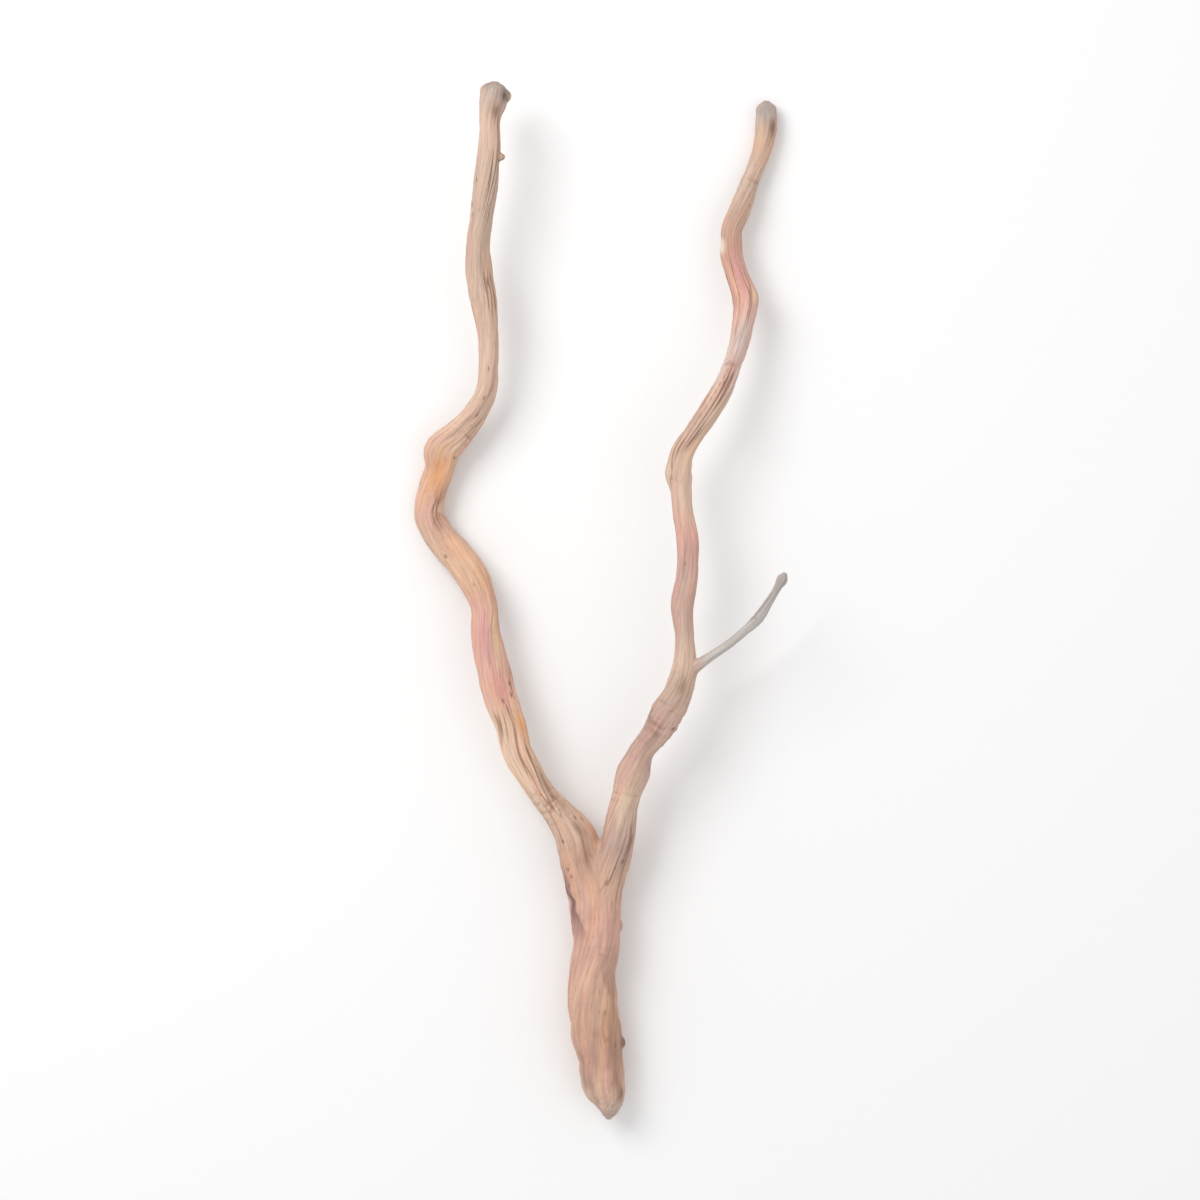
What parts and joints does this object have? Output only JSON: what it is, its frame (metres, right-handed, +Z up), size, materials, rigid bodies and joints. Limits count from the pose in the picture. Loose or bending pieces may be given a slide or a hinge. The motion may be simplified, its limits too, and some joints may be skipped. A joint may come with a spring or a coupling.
{
  "type": "fallen tree branch",
  "caption": "Bare, weathered, forked tree branch with a blunt worn butt, crooked limbs and a slim side twig, lying on the ground.",
  "frame": {"origin": "on the ground, under the middle of the branch's outline as seen from above", "axes": "+Z up from the ground, +Y from the butt towards the tips, +X towards the side twig"},
  "size_m": [0.3221, 0.8979, 0.085],
  "materials": {
    "stem_wood": "bare pinkish-tan wood, worn smooth, with brown streaks and a pale grey-beige butt",
    "left_limb_wood": "bare tan wood, worn smooth, with orange and pink streaks and a grey knobby tip",
    "right_limb_lower_wood": "bare wood, worn smooth, with mauve and brown streaks",
    "right_limb_upper_wood": "bare pinkish wood, worn smooth, with a cream scar and a grey tip",
    "side_twig_wood": "thin weathered grey wood"
  },
  "bodies": {
    "root": {"stem": "stem_wood", "left_limb": "left_limb_wood", "right_limb_lower": "right_limb_lower_wood", "right_limb_upper": "right_limb_upper_wood", "side_twig": "side_twig_wood"}
  },
  "joints": []
}
